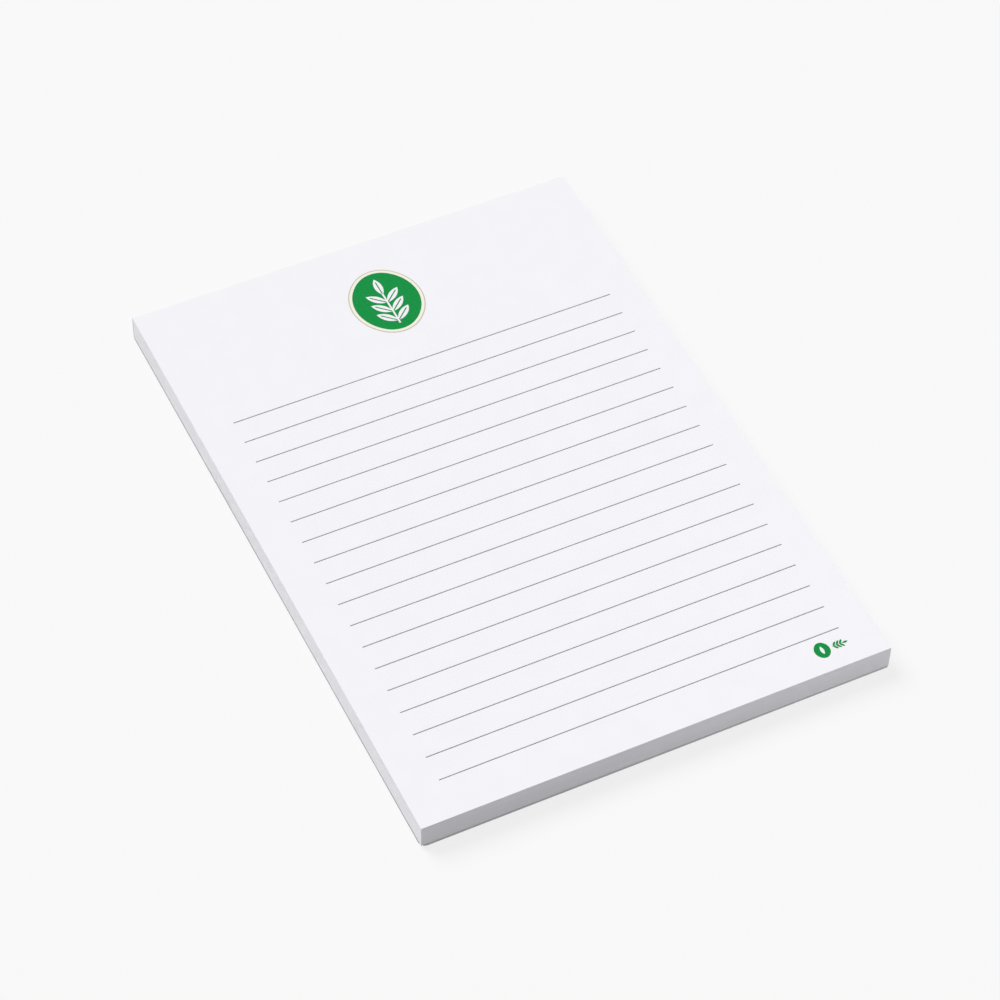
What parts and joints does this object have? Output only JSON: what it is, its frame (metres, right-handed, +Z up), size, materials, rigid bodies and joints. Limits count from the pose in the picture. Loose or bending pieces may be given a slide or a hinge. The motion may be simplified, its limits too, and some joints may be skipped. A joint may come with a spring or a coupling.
{
  "type": "notepad",
  "caption": "Flat writing pad of ruled white sheets, gummed along the head onto a greyboard back, with a small green leaf ornament at its head.",
  "frame": {"origin": "middle of the pad's underside, where it lies on a table", "axes": "+X across the sheet to the reader's right, +Y along the sheet to the gummed head, +Z up out of the writing face"},
  "size_m": [0.148, 0.2104, 0.009],
  "materials": {
    "paper": "matte",
    "greyboard": "matte",
    "padding_glue": "satin",
    "grey_ink": "matte",
    "green_ink": "matte",
    "cream_ink": "matte",
    "tan_ink": "matte"
  },
  "bodies": {
    "root": {"sheet_block": "paper", "backing_board": "greyboard", "head_glue": "padding_glue", "ruled_lines": "grey_ink", "ornament_field": "green_ink", "ornament_band": "cream_ink", "ornament_outline": "tan_ink", "foot_ornament": "green_ink"}
  },
  "joints": []
}
